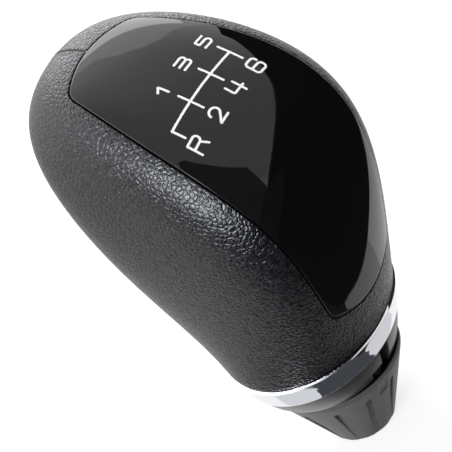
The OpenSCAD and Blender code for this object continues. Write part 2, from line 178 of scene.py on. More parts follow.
# Cards that only reflections see. Each lies on a side of a box round the knob, square to
# the camera: that side, its corners along the other two of right, up and back, its tone
# and the box's half size in metres.
SIDES = {"right": (0, 1), "left": (0, -1), "above": (1, 1), "below": (1, -1), "front": (2, 1)}
CARDS = [
    ("dark_above", "above",
     [(0.04, -0.5), (0.03, -0.07), (0.08, -0.01), (0.14, 0.1), (0.2, 0.19), (0.29, 0.31),
      (0.39, 0.39), (0.48, 0.47), (0.6, 0.56), (0.72, 0.64), (0.88, 0.74), (1.07, 0.85),
      (2.06, 1.58), (2.06, -0.5)], DARK, 1.47),
    ("bright_above", "above",
     [(-3, 0.35), (-1.2, 0.1), (-0.8, -0.1), (-0.62, -0.14), (-0.46, -0.13), (-0.36, -0.05),
      (-0.26, -0.01), (-0.2, -0.03), (-0.15, -0.12), (-0.08, -0.2), (0.04, -0.35), (0.04, -1.5),
      (-3, -1.5)], (2.4, 2.4, 2.42), 1.48),
    ("bright_far", "above",
     [(-3, -0.1), (-0.7, -0.22), (-0.1, -0.26), (-0.1, -1.5), (-3, -1.5)], (4.8, 4.85, 4.95), 1.46),
    ("dark_right", "right",
     [(3, -0.72), (-0.2, -0.72), (-0.3, -0.68), (-0.42, -0.61), (-0.5, -0.57), (-0.62, -0.54),
      (-0.7, -0.5), (-0.8, -0.42), (-0.95, 0), (-0.9, 0.6), (-0.5, 1.05), (0.48, 0.77),
      (0.93, 0.8), (3, 1.5)], DARK, 1.5),
    ("pale_right", "right",
     [(-0.2, -0.45), (-0.2, -1.4), (-0.5, -1.4), (-0.56, -0.8), (-0.6, -0.7), (-0.565, -0.64),
      (-0.61, -0.58), (-0.57, -0.52), (-0.6, -0.45)], (0.7, 0.7, 0.72), 1.54),
    ("dusk_right", "right",
     [(-0.9, 0.5), (-0.5, 1.1), (0.47, 0.8), (0.6, 0.6), (0.2, 0.5)], (0.06, 0.06, 0.065), 1.45),
    ("dark_low", "below",
     [(-0.4, -0.06), (-0.1, -0.1), (0.3, -0.07), (2.5, -0.1), (2.5, 2.5), (0.1, 2.5),
      (-0.1, 0.8)], (0.05, 0.05, 0.053), 1.4),
    ("pale_low", "below",
     [(-0.8, -0.3), (-0.82, -0.72), (-0.6, -0.8), (-0.15, -0.72), (-0.05, -0.95), (0.45, -0.95),
      (0.45, -0.3)], (0.72, 0.73, 0.76), 1.47),
    ("dusk_low", "below",
     [(-0.62, -0.1), (-0.64, -0.45), (-0.56, -0.62), (-0.28, -0.6), (-0.14, -0.44),
      (-0.14, 0)], (0.36, 0.37, 0.39), 1.46),
    ("grey_low", "below",
     [(-0.32, -0.36), (-0.1, -0.4), (0.34, -0.36), (0.7, -0.4), (0.7, 0),
      (-0.35, 0)], (0.16, 0.165, 0.175), 1.45),
    ("bright_left", "left",
     [(-0.35, -0.5), (-0.5, 0), (-0.6, 0.5), (-0.4, 1.2), (1.2, 1.2), (1.2, -0.8),
      (0.2, -0.8)], (2.3, 2.3, 2.35), 1.5),
    ("key_glow", "front",
     [(0.06, 0.02), (-0.25, 0.16), (-0.55, 0.16), (-0.76, 0), (-0.84, -0.3), (-0.8, -0.8),
      (-0.6, -0.95), (-0.36, -0.7), (-0.1, -0.45), (0.08, -0.25)], (23, 24, 26), 0.75),
    ("dark_front", "front",
     [(-0.18, -3), (3, -3), (3, -0.3), (1.3, 0.63), (0.89, 0.96), (0.64, 1.21), (0.43, 1.34),
      (0.23, 1.33), (0.02, 1.18), (-0.18, 0.9)], (0.12, 0.12, 0.127), 1.44),
    ("slate_under", "below",
     [(0.39, -0.08), (0.35, -0.2), (0.38, -0.23), (0.345, -0.25), (0.4, -0.28), (0.36, -0.3),
      (0.4, -0.33), (0.37, -0.36), (0.43, -0.39), (0.39, -0.42), (0.41, -0.5), (0.4, -0.7),
      (0.5, -0.9), (1, -1.3), (1.5, -1.7), (1.95, -1.7), (1.95, -0.1)],
     (0.058, 0.061, 0.071), 1.3),
]
LIT_ALONE = {"key_glow": "leather_cover"}  # a card that lights one piece only


def bezier(points, t):
    """Point on a Bezier curve for an array of parameters."""
    t = np.asarray(t, float)[..., None]
    rows = [np.zeros(t.shape[:-1] + (len(p),)) + np.asarray(p, float) for p in points]
    while len(rows) > 1:
        rows = [a * (1 - t) + b * t for a, b in zip(rows, rows[1:])]
    return rows[0]


def skin(q):
    """Point of the head's skin for a spot of the unit disc: rim below, nose in the middle."""
    a = np.arctan2(q[..., 1], q[..., 0])
    t = 1 - np.hypot(q[..., 0], q[..., 1])
    front, rear = bezier(FRONT, t), bezier(REAR, t)
    middle, half = (front + rear) / 2, (front - rear) / 2
    k = bezier(SQUARE, t)[..., 0]
    along = np.cos(a) - k * (np.cos(3 * a) - np.cos(a))
    across = -np.sin(a) - k * np.sin(3 * a)
    return np.stack([
        bezier(GIRTH, t)[..., 0] * across,
        middle[..., 0] + half[..., 0] * along,
        SEAT_Z + middle[..., 1] + half[..., 1] * along], -1)


def unit(v):
    return v / np.maximum(np.linalg.norm(v, axis=-1, keepdims=True), 1e-12)


def skin_normal(q, h=1e-3):
    du = skin(q + [h, 0]) - skin(q - [h, 0])
    dv = skin(q + [0, h]) - skin(q - [0, h])
    n = unit(np.cross(du, dv))
    return n * np.sign(np.sum(n * (skin(q) - HEAD_MIDDLE), -1, keepdims=True))


def draw_plane(q):
    """Where a spot of the skin lies in the panel's draw plane."""
    p = skin(q)
    return np.stack([p[..., 0], (p[..., 1] + p[..., 2] - SEAT_Z) * math.sqrt(0.5)], -1)


def solve(f, goal, q, h=1e-4, steps=30):
    """Spots of the disc for which f is goal, by Newton's method with short steps."""
    for _ in range(steps):
        e = f(q) - goal
        a = (f(q + [h, 0]) - f(q - [h, 0])) / (2 * h)
        b = (f(q + [0, h]) - f(q - [0, h])) / (2 * h)
        det = a[..., 0] * b[..., 1] - a[..., 1] * b[..., 0]
        step = np.stack([
            (e[..., 0] * b[..., 1] - e[..., 1] * b[..., 0]) / det,
            (a[..., 0] * e[..., 1] - a[..., 1] * e[..., 0]) / det], -1)
        size = np.linalg.norm(step, axis=-1, keepdims=True)
        q = q - step * np.minimum(1, 0.12 / np.maximum(size, 1e-9))
    return q


def spots_under(xv):
    """Spots of the skin's palm side that lie under points of the draw plane."""
    rho = 1 - np.clip(0.08 + (xv[..., 1] - PANEL_V0) / 85, 0.03, 0.98)
    a = math.pi + np.arcsin(np.clip(xv[..., 0] / 23, -0.9, 0.9))
    return solve(draw_plane, xv, np.stack([rho * np.cos(a), rho * np.sin(a)], -1))


def arc(centre, r, start, end, count):
    a = np.linspace(start, end, count)
    return np.stack([centre[0] + r * np.cos(a), centre[1] + r * np.sin(a)], -1)


def panel_outline(margin):
    """Right half of the panel's outline, from the middle of its top to the middle of its foot."""
    sides = [s[0] for s in PANEL_SIDES]
    low, high = PANEL_V0 + LOW_CORNER_R, PANEL_V0 + PANEL_LEN - TOP_CORNER_R
    low_a = math.atan2(3 * (sides[0] - sides[1]), high - low)
    top_a = math.atan2(3 * (sides[2] - sides[3]), high - low)
    low_c = np.array([sides[0], low]) - LOW_CORNER_R * np.array([math.cos(low_a), math.sin(low_a)])
    top_c = np.array([sides[3], high]) - TOP_CORNER_R * np.array([math.cos(top_a), math.sin(top_a)])
    u = np.linspace(0, 1, 40)
    side = np.stack([bezier(PANEL_SIDES, u)[:, 0] - margin, low + (high - low) * u], -1)
    low_arc = arc(low_c, LOW_CORNER_R - margin, -LOW_TURN, low_a, 24)
    top_arc = arc(top_c, TOP_CORNER_R - margin, top_a, TOP_TURN, 24)
    rise_low = 0.5 * low_arc[0, 0] / math.tan(LOW_TURN) * (1 - u * u)
    rise_top = 0.5 * top_arc[-1, 0] / math.tan(TOP_TURN) * (1 - u * u)
    foot = np.stack([low_arc[0, 0] * u, low_arc[0, 1] - rise_low], -1)
    top = np.stack([top_arc[-1, 0] * u, top_arc[-1, 1] + rise_top], -1)
    half = np.concatenate([foot[:-1], low_arc, side[1:-1], top_arc, top[::-1][1:]])
    return half[::-1]


def resample(path, at):
    """Points of a path at the given lengths along it."""
    s = np.r_[0, np.cumsum(np.linalg.norm(np.diff(path, axis=0), axis=1))]
    return np.stack([np.interp(at, s, path[:, k]) for k in range(path.shape[1])], -1)


def outline_loop(margin, spacing=0.36):
    """Closed outline with close points beside the seam."""
    half = panel_outline(margin)
    length = np.linalg.norm(np.diff(half, axis=0), axis=1).sum()
    close = [0, 0.1, 0.2, 0.3, 0.4, 0.5, 0.65, 0.8, 1, 1.25, 1.55, 1.9]
    rest = np.linspace(2.2, length, int((length - 2.2) / spacing))
    right = resample(half, np.r_[close, rest])
    left = right[1:-1][::-1] * [-1, 1]
    return np.concatenate([right, left])


def make_mesh(name, points, faces, material, body, normals=None):
    mesh = bpy.data.meshes.new(name)
    mesh.from_pydata((np.asarray(points).reshape(-1, 3) * MM).tolist(), [], faces)
    mesh.polygons.foreach_set("use_smooth", [True] * len(mesh.polygons))
    face_outwards(mesh, normals)
    if normals is not None:
        mesh.normals_split_custom_set_from_vertices(np.asarray(normals).reshape(-1, 3).tolist())
    mesh.materials.append(material)
    obj = bpy.data.objects.new(name, mesh)
    bpy.context.scene.collection.objects.link(obj)
    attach(obj, body)
    return obj


def face_outwards(mesh, normals):
    """Turn the faces to the given normals, or to the outside of a shell."""
    work = bmesh.new()
    work.from_mesh(mesh)
    if normals is None:
        bmesh.ops.recalc_face_normals(work, faces=work.faces)
    else:
        wanted = np.asarray(normals).reshape(-1, 3)
        work.normal_update()
        wrong = [f for f in work.faces
                 if f.normal.dot(Vector(sum(wanted[v.index] for v in f.verts))) < 0]
        bmesh.ops.reverse_faces(work, faces=wrong)
    work.to_mesh(mesh)
    work.free()


def grid_faces(rows, cols, closed=True, start=0):
    last = cols if closed else cols - 1
    return [(start + j * cols + i, start + j * cols + (i + 1) % cols,
             start + (j + 1) * cols + (i + 1) % cols, start + (j + 1) * cols + i)
            for j in range(rows - 1) for i in range(last)]


def grid_normals(p):
    """Normals of a grid of points whose columns close."""
    along = np.gradient(p, axis=0)
    round_ = np.roll(p, -1, axis=1) - np.roll(p, 1, axis=1)
    return unit(np.cross(round_, along))


def roll_off(d, r):
    """How far a rounded edge of radius r has fallen at a distance d from it."""
    x = np.clip(r - d, 0, r)
    return r - np.sqrt(r * r - x * x)


# Pieces

def grip_cover():
    """Leather from the panel's edge out to the chrome ring, with the seam over the nose."""
    start = spots_under(outline_loop(0))
    centre = np.array([-0.5, 0])
    away = unit(start - centre)
    mid = away @ centre
    reach = -mid + np.sqrt(mid * mid - centre @ centre + 1)
    rim = centre + away * reach[:, None]
    fine = np.linspace(0, 1, 160)[:, None, None]
    path = skin(start + (rim - start) * fine)
    length = np.r_[np.zeros((1, len(start))), np.cumsum(
        np.linalg.norm(np.diff(path, axis=0), axis=-1), axis=0)]
    near = np.array([0, 0.04, 0.1, 0.18, 0.28, 0.4, 0.55, 0.75, 1])
    far = np.array([1.4, 1.1, 0.85, 0.65, 0.48, 0.32, 0.2, 0.1, 0.03, 0])
    spread = np.linspace(0, 1, 80)[1:-1]
    spots = []
    for k in range(len(start)):
        total = length[-1, k]
        at = np.r_[near, near[-1] + (total - near[-1] - far[0]) * spread, total - far]
        f = np.interp(at, length[:, k], fine[:, 0, 0])
        spots.append(start[k] + (rim[k] - start[k]) * f[:, None])
    q = np.stack(spots, 1)
    p, n = skin(q), skin_normal(q)
    rows = len(near) + len(spread)
    edge = np.r_[near, np.full(q.shape[0] - len(near), 9)][:, None]
    foot = np.r_[np.full(rows, 9), far][:, None]
    x = np.abs(p[..., 0])
    on_seam = np.clip((q[..., 0] + 0.3) * 4, 0, 1)
    seam = SEAM_DEPTH * np.exp(-(x / 0.17) ** 2) - 0.07 * np.exp(-((x - 0.6) / 0.35) ** 2)
    drop = roll_off(edge, LEATHER_EDGE_R) + roll_off(foot, LEATHER_RIM_R) + on_seam * seam
    p = p - n * drop[..., None]
    lip = [p[0] - n[0] * s for s in (1.1, 0.6, 0.3)]
    level = unit(n[-1] * [1, 1, 0])
    hem = [p[-1] - level * s for s in (0.5, 1.0)]
    grid = np.concatenate([lip, p, hem])
    cover = make_mesh("leather_cover", grid, grid_faces(*grid.shape[:2]), leather(),
                      "knob")
    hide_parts("grip_cover")


def gate_panel():
    """Gloss panel with a rounded edge, its wall going down into the gap."""
    loop = outline_loop(PANEL_GAP)
    low, high = PANEL_V0 + PANEL_FAN, PANEL_V0 + PANEL_LEN - PANEL_FAN
    middle = np.stack([loop[:, 0] * 0, np.clip(loop[:, 1], low, high)], -1)
    near = np.array([0, 0.03, 0.08, 0.15, 0.24, 0.34, 0.46, 0.65, 0.9])
    inward = unit(middle - loop)
    size = np.linalg.norm(middle - loop, axis=1)
    spread = 1 - (1 - np.linspace(0, 1, 46)[1:]) ** 1.2
    at = [loop + inward * d for d in near]
    at += [loop + inward * (near[-1] + (size - near[-1]) * s)[:, None] for s in spread]
    q = spots_under(np.stack(at))
    n = skin_normal(q)
    drop = np.r_[roll_off(near, PANEL_EDGE_R), np.zeros(len(spread))] - PANEL_PROUD
    p = skin(q) - n * drop[:, None, None]
    wall = [p[0] - n[0] * s for s in (1.2, 0.7, 0.35)]
    grid = np.concatenate([wall, p])
    normals = grid_normals(grid)
    sign = np.sign(np.sum(normals[-20] * n[-20], -1).mean())
    normals = normals * sign
    flat = len(wall) + len(near)
    normals[flat:] = n[len(near):]
    panel = make_mesh("gloss_panel", grid, grid_faces(*grid.shape[:2]), gloss_black(),
                      "knob", normals)
    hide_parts("gate_panel")


def pattern_spots(uv):
    """Spots of the skin for points of the gate pattern."""
    t = np.linspace(0.2, 0.95, 1500)
    line = skin(np.stack([t - 1, 0 * t], -1))
    s = np.r_[0, np.cumsum(np.linalg.norm(np.diff(line, axis=0), axis=1))]
    s = s - np.interp(PATTERN_T, t, s)
    at = np.interp(uv[..., 1], s, t)
    g, k = bezier(GIRTH, at)[..., 0], bezier(SQUARE, at)[..., 0]
    a = math.pi + np.arcsin(np.clip(uv[..., 0] / g, -0.9, 0.9))
    for _ in range(12):
        e = g * (-np.sin(a) - k * np.sin(3 * a)) - uv[..., 0]
        a = a - e / (g * (-np.cos(a) - 3 * k * np.cos(3 * a)))
    return np.stack([(1 - at) * np.cos(a), (1 - at) * np.sin(a)], -1)


def ribbon(line, width):
    """Outline strip of a stroke with round ends, as pairs of points in the pattern."""
    line = np.asarray(line, float)
    along = unit(np.gradient(line, axis=0))
    side = np.stack([-along[:, 1], along[:, 0]], -1)
    cap = np.linspace(0, math.pi / 2, 6)[1:]
    r = width / 2
    rows = [(line[0] - along[0] * r * math.cos(c), side[0] * r * math.sin(c))
            for c in np.r_[0.05, cap[:-1]]]
    rows += [(p, s * r) for p, s in zip(line, side)]
    rows += [(line[-1] + along[-1] * r * math.sin(c), side[-1] * r * math.cos(c))
             for c in np.r_[cap[:-1], 1.52]]
    return np.array([[p + s, p - s] for p, s in rows])


def polyline(points, step=0.35):
    """Evenly spaced points along straight lines."""
    points = np.asarray(points, float)
    length = np.linalg.norm(np.diff(points, axis=0), axis=1).sum()
    return resample(points, np.linspace(0, length, max(2, int(length / step) + 1)))


def round_arc(cx, cy, rx, ry, start, end, count=16):
    a = np.radians(np.linspace(start, end, count))
    return np.stack([cx + rx * np.cos(a), cy + ry * np.sin(a)], -1)


def fillet(points, radii, steps=8):
    """Polyline with its corners turned into arcs of the given radii."""
    points = np.asarray(points, float)
    out = [points[0]]
    for before, corner, after, r in zip(points, points[1:], points[2:], radii):
        if r == 0:
            out.append(corner)
            continue
        a, b = unit(before - corner), unit(after - corner)
        half = math.acos(float(np.clip(a @ b, -1, 1))) / 2
        centre = corner + unit(a + b) * r / math.sin(half)
        start, end = corner + a * r / math.tan(half), corner + b * r / math.tan(half)
        u, v = start - centre, end - centre
        turn = math.acos(float(np.clip(u @ v / r ** 2, -1, 1)))
        for k in np.linspace(0, 1, steps):
            w = (math.sin((1 - k) * turn) * u + math.sin(k * turn) * v) / math.sin(turn)
            out.append(centre + w)
    out.append(points[-1])
    return np.array(out)


def glyph_strokes():
    """Centre lines of the digits and the letter in mm, each about its own middle."""
    two = round_arc(0, 0.55, 1.25, 1.1, 172, -32)
    return {
        "1": [[(-1.28, 0.5), (0, 1.2), (0, -1.2)]],
        "2": [np.concatenate([two, [(-1.35, -1.65)], [(1.4, -1.65)]])],
        "3": [fillet([(-1.35, 1.25), (1.3, 1.25), (1.3, 0), (-1.35, 0)], [0.6, 0.6]),
              fillet([(0.6, 0), (1.32, 0), (1.32, -1.25), (-1.35, -1.25)], [0.6, 0.6])],
        "4": [fillet([(-1.4, 1.7), (-1.45, -0.5), (1.5, -0.5)], [0.35]), [(0.8, 1.45), (0.8, -1.7)]],
        "5": [fillet([(1.2, 1.22), (-1.17, 1.22), (-1.22, 0.12), (1.3, 0.12), (1.3, -1.25),
                      (-1.25, -1.25)], [0.12, 0.12, 0.65, 0.65])],
        "6": [fillet([(1.25, 0.65), (1.25, 1.68), (-1.3, 1.68), (-1.3, -1.7), (1.3, -1.7), (1.3, 0.02),
                      (-1.25, 0.02)], [0.7, 0.7, 0.7, 0.7, 0.7])],
        "R": [[(-1.5, -1.7), (-1.5, 1.62)],
              fillet([(-1.5, 1.62), (1.42, 1.62), (1.42, 0), (-1.5, 0)], [0.75, 0.75]),
              [(0.7, 0), (1.5, -1.65)]],
    }


def pattern_bow(x):
    """Rise of the gate's cross line, which the digits beside it follow."""
    return 0.575 - 0.0066 * (x - 1) ** 2


def gate_pattern():
    """Printed gate lines, digits and the reverse letter, as thin raised ink on the panel."""
    lines = [polyline([(x, 0) for x in np.linspace(GATES[0], GATES[-1], 60)])]
    lines += [polyline([(x, -GATE_DOWN), (x, GATE_UP)]) for x in GATES[1:]]
    lines.append(polyline([(GATES[0], 0), (GATES[0], -GATE_DOWN)]))
    strokes = glyph_strokes()
    for key, place in GLYPH_PLACES.items():
        lines += [polyline(np.asarray(stroke, float) + place, 0.15) for stroke in strokes[key]]
    points, normals, faces = [], [], []
    for line in lines:
        strip = ribbon(line + np.stack([0 * line[:, 0], pattern_bow(line[:, 0])], -1), PRINT_W)
        q = pattern_spots(strip)
        n = skin_normal(q)
        start = sum(len(p) for p in points)
        points.append((skin(q) + n * (PANEL_PROUD + PRINT_LIFT)).reshape(-1, 3))
        normals.append(n.reshape(-1, 3))
        faces += grid_faces(len(strip), 2, closed=False, start=start)
    make_mesh("gate_pattern", np.concatenate(points), faces, white_ink(),
              "knob", np.concatenate(normals))


def oval_rows(wide, deep, angles):
    """Grid of an oval ring from its profiles [height, radius] on the X and on the Y axis."""
    c, s = np.cos(angles), np.sin(angles)
    z = wide[:, :1] * c * c + deep[:, :1] * s * s
    return np.stack([wide[:, 1:] * c, deep[:, 1:] * s, z], -1)


def bowed(low, high, bow, count=9):
    """Profile from low to high, each [height, radius], bowed outwards in the middle."""
    s = np.linspace(0, 1, count)[:, None]
    return np.asarray(low) + (np.asarray(high) - low) * s + bow * 4 * s * (1 - s) * [0, 1]


def dense(path, step):
    """Path with its long stretches cut into short ones."""
    out = [path[0]]
    for a, b in zip(path, path[1:]):
        n = max(1, math.ceil(np.linalg.norm(b - a) / step - 1e-9))
        out += [a + (b - a) * k / n for k in range(1, n + 1)]
    return np.array(out)


def trim_ring():
    """Mirror ring with a rounded upper rim and a fine rounded lower edge."""
    top = SEAT_Z - 0.1
    halves = []
    for low, high in zip(CHROME_LOW, SEAT_HALF + 0.3):
        face = bowed((CHROME_Z, low), (top - BEVEL_H, high), CHROME_BOW)
        guard = face[-1:] + (face[-2:-1] - face[-1:]) * 0.12
        path = np.concatenate([[(CHROME_Z, low - CHROME_WALL)], face[:-1], guard, face[-1:],
                               [(top, high - BEVEL_W)],
                               [(top, high - CHROME_WALL)], [(CHROME_Z, low - CHROME_WALL)]])
        radii = [0.3] + [0] * 8 + [0.04, 0.12, 0.1]
        halves.append(fillet(path, radii, 12)[:-1])
    wide, deep = (np.concatenate([h, h[-1:] + [[-3, -0.6]]]) for h in halves)
    angles = np.linspace(0, 2 * math.pi, 360, endpoint=False)
    grid = oval_rows(wide, deep, angles)
    rows, cols = grid.shape[:2]
    faces = grid_faces(rows, cols)
    last = (rows - 1) * cols
    faces += [(last + i, last + (i + 1) % cols, (i + 1) % cols, i) for i in range(cols)]
    ring = make_mesh("chrome_ring", grid, faces, chrome(), "knob")
    ring.data.set_sharp_from_angle(angle=math.radians(40))
    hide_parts("trim_ring")


def satin_profiles():
    """Outer profiles of the satin ring on the X and on the Y axis, with rounded rims."""
    top = CHROME_Z - RING_GAP
    profiles = []
    for low, high in zip(SATIN_LOW, SATIN_TOP):
        face = bowed((SATIN_Z, low), (top, high), SATIN_BOW, 12)
        path = np.concatenate([[(SATIN_Z, low - SATIN_WALL)], face, [(top, high - SATIN_WALL)]])
        half = fillet(path, [0.28] + [0] * 10 + [0.25], 8)
        profiles.append(np.concatenate([half[:9], dense(half[9:-9], 0.4), half[-9:]]))
    return profiles


def snapped(level):
    """Heights of a grid, with the nearest of each column on the window's two upper edges."""
    snap = level.copy()
    for mark in (FOOT_TOP, WINDOW_TOP):
        near = np.argmin(np.abs(level - mark), axis=0)
        snap[near, np.arange(level.shape[1])] = mark
    return snap


def window_cells(angles, heights, foot, slot):
    """Cells of the ring's grid that the angled window takes away."""
    middle = (angles + np.roll(angles, -1)) / 2
    middle[-1] = (angles[-1] + angles[0] + 2 * math.pi) / 2
    mid_z = (heights[1:] + heights[:-1]) / 2
    in_foot = (middle > foot) & (middle < slot[1])
    in_slot = (middle > slot[0]) & (middle < slot[1])
    return (in_foot & (mid_z < FOOT_TOP)) | (in_slot & (mid_z < WINDOW_TOP))


def shell_faces(cut, rows, cols):
    """Faces of two grids back to back, open where cells are cut and closed round them."""
    back_side = rows * cols
    faces = []
    for j in range(rows - 1):
        for i in range(cols):
            if cut[j, i]:
                continue
            k = (i + 1) % cols
            a, b, c, d = j * cols + i, j * cols + k, (j + 1) * cols + k, (j + 1) * cols + i
            faces += [(a, b, c, d), (back_side + d, back_side + c, back_side + b, back_side + a)]
            if j == 0 or cut[j - 1, i]:
                faces.append((a, back_side + a, back_side + b, b))
            if j == rows - 2 or cut[j + 1, i]:
                faces.append((d, c, back_side + c, back_side + d))
            if cut[j, i - 1]:
                faces.append((a, d, back_side + d, back_side + a))
            if cut[j, k]:
                faces.append((b, back_side + b, back_side + c, c))
    return faces


def satin_ring():
    """Satin ring with a round bore, cut through by the angled window of the index pin."""
    slot = np.radians([WINDOW_DEG - WINDOW_HALF_DEG, WINDOW_DEG + WINDOW_HALF_DEG])
    foot = np.radians(PIN_DEG - WINDOW_HALF_DEG)
    marks = np.sort(np.r_[slot, foot])
    angles = np.r_[np.linspace(marks[0], marks[1], 9)[:-1], np.linspace(marks[1], marks[2], 9)[:-1],
                   np.linspace(marks[2], marks[0] + 2 * math.pi, 300)[:-1]]
    outer = oval_rows(*satin_profiles(), angles)
    heights = snapped(outer[..., 2])
    outer[..., 2] = heights
    inner = np.stack([np.broadcast_to(RING_BORE_R * np.cos(angles), heights.shape),
                      np.broadcast_to(RING_BORE_R * np.sin(angles), heights.shape), heights], -1)
    points = np.concatenate([outer.reshape(-1, 3), inner.reshape(-1, 3)])
    faces = shell_faces(window_cells(angles, heights, foot, slot), *heights.shape)
    ring = make_mesh("satin_ring", points, faces, satin_metal(), "knob")
    remove_loose(ring.data)
    ring.data.set_sharp_from_angle(angle=math.radians(40))
    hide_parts("lower_ring")


def remove_loose(mesh):
    work = bmesh.new()
    work.from_mesh(mesh)
    bmesh.ops.delete(work, geom=[v for v in work.verts if not v.link_faces], context="VERTS")
    work.to_mesh(mesh)
    work.free()


def collar_angles():
    """Angles round the collar in degrees, close together beside each flute."""
    ends = np.array([0.25, 0.45, 0.55, 0.62, 0.69, 0.76, 0.83, 0.9, 0.97, 1.05, 1.15, 1.3, 1.6,
                     2.2, 3])
    half = np.degrees(ends / 12)
    part = np.r_[-half[::-1], 0, half]
    extra = np.array([-0.4, 0.4]) * SECTOR
    return np.sort(np.concatenate([np.r_[part, extra] + i * SECTOR for i in range(FLUTES)]))


def collar_wall(taper):
    """Tapered outer wall of the collar, close together where the flutes end."""
    z = np.r_[np.linspace(0.4, 14.2, 40), np.linspace(14.3, 16.6, 32), np.linspace(16.8, 19.1, 9)]
    return np.stack([MOUTH_R + taper * z, z], -1)


def flute_depth(angles, r, z, lean):
    """How deep the flutes lie at each spot of the wall, with round ends and soft edges."""
    side = (angles + SECTOR / 2) % SECTOR - SECTOR / 2
    across = np.abs(np.radians(side)) * r
    above = np.clip((z - FLUTE_H) / math.cos(lean), 0, None)
    width = np.interp(z, [0, FLUTE_H], [FLUTE_LOW_W / 2, FLUTE_TOP_W / 2])
    f = np.clip((width + FLUTE_EDGE_OUT - np.hypot(across, above)) / FLUTE_EDGE_W, 0, 1)
    deep = np.interp(z, [0, 7, 13, FLUTE_H], [0.06, 0.3, 0.7, FLUTE_DEPTH])
    return deep * (f * f * (3 - 2 * f))


def lock_collar():
    """Tapered collar with sunk flutes, a rounded mouth and rim, and its inner lip."""
    taper = (RIM_R - MOUTH_R) / COLLAR_H
    lean = math.atan(taper)
    outer = collar_wall(taper)
    profile = np.concatenate([COLLAR_FOOT, outer, COLLAR_RIM, COLLAR_INSIDE])
    wall_end = len(COLLAR_FOOT) + len(outer)
    on_wall = np.zeros((len(profile), 1), bool)
    on_wall[FOOT_ROWS:wall_end] = True
    angles = collar_angles()
    r = np.repeat(profile[:, :1], len(angles), 1)
    z = np.repeat(profile[:, 1:], len(angles), 1)
    from_recess = np.radians(angles - (PIN_DEG - RECESS_SHIFT_DEG) % 360) * r
    recess = (np.clip((RECESS_HALF_W - np.abs(from_recess)) / RECESS_EDGE_W, 0, 1)
              * np.clip((z - RECESS_LOW) / RECESS_EDGE_W, 0, 1) * on_wall)
    depth = np.maximum(flute_depth(angles, r, z, lean) * on_wall, RECESS_DEPTH * recess)
    # Spots at the flutes' upper ends that get a painted shade, a near-black colour for the shadow in
    # the deep slots
    painted_shade_spots = (depth > SHADE_DEPTH) & (z > FLUTE_H - SHADE_DROP) & (np.abs(from_recess) > SHADE_CLEAR)
    r = r - depth * math.cos(lean)
    z = z + depth * math.sin(lean)
    a = np.radians(angles)
    grid = np.stack([r * np.cos(a), r * np.sin(a), z + COLLAR_Z], -1)
    collar = make_mesh("fluted_collar", grid, grid_faces(*grid.shape[:2]), grey_plastic(),
                       "collar")
    collar.data.set_sharp_from_angle(angle=math.radians(50))
    # Painted shade: the collar's inside from the rim on, and the flutes' upper ends, get a near-black
    # colour that stands in for shadow
    dress_collar(collar.data, (wall_end + RIM_ROWS) * len(angles), painted_shade_spots)
    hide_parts("lock_collar")


def dress_collar(mesh, inner, painted_shade_spots):
    """Painted shade: near black on the inside from the point numbered inner on, for the dark gap under
    the satin ring, and near-black painted shade spots where the mask says so, for the shadow at the
    flutes' upper ends.
    """
    mesh.materials.append(plastic("painted_shade_lip", grey(0.004), grey(0.006), 0.6))
    # Painted shade: near-black material for the shadow at the flutes' upper ends
    shade = plastic("painted_flute_shade", grey(0.003), grey(0.005), 0.7)
    shade.node_tree.nodes["Principled BSDF"].inputs["Specular IOR Level"].default_value = 0.1
    mesh.materials.append(shade)
    for face in mesh.polygons:
        if min(face.vertices) >= inner:
            face.material_index = 1
        if all(painted_shade_spots.flat[i] for i in face.vertices):
            face.material_index = 2


# Materials

def new_material(name):
    mat = bpy.data.materials.new(name)
    mat.use_nodes = True
    tree = mat.node_tree
    return mat, tree, tree.nodes["Principled BSDF"]


def node(tree, kind, **values):
    made = tree.nodes.new(kind)
    for key, value in values.items():
        if hasattr(made, key) and key not in made.inputs:
            setattr(made, key, value)
        else:
            made.inputs[key].default_value = value
    return made


def ramp(tree, source, low, high, c0, c1, kind="LINEAR"):
    made = tree.nodes.new("ShaderNodeValToRGB")
    made.color_ramp.interpolation = kind
    made.color_ramp.elements[0].position = low
    made.color_ramp.elements[1].position = high
    made.color_ramp.elements[0].color = c0
    made.color_ramp.elements[1].color = c1
    tree.links.new(source, made.inputs["Fac"])
    return made.outputs["Color"]


def grey(v):
    return (v, v, v, 1)


def spot(tree):
    return tree.nodes.new("ShaderNodeTexCoord").outputs["Object"]


def bump(tree, height, distance, strength=1.0, under=None):
    made = node(tree, "ShaderNodeBump", Strength=strength, Distance=distance)
    tree.links.new(height, made.inputs["Height"])
    if under is not None:
        tree.links.new(under, made.inputs["Normal"])
    return made.outputs["Normal"]


def maths(tree, operation, a, b):
    made = tree.nodes.new("ShaderNodeMath")
    made.operation = operation
    for slot, value in zip(made.inputs, (a, b)):
        if isinstance(value, (int, float)):
            slot.default_value = value
        else:
            tree.links.new(value, slot)
    return made.outputs[0]


def noise(tree, where, scale, detail=2.0, rough=0.5):
    made = node(tree, "ShaderNodeTexNoise", Scale=scale, Detail=detail, Roughness=rough)
    tree.links.new(where, made.inputs["Vector"])
    return made.outputs["Fac"]


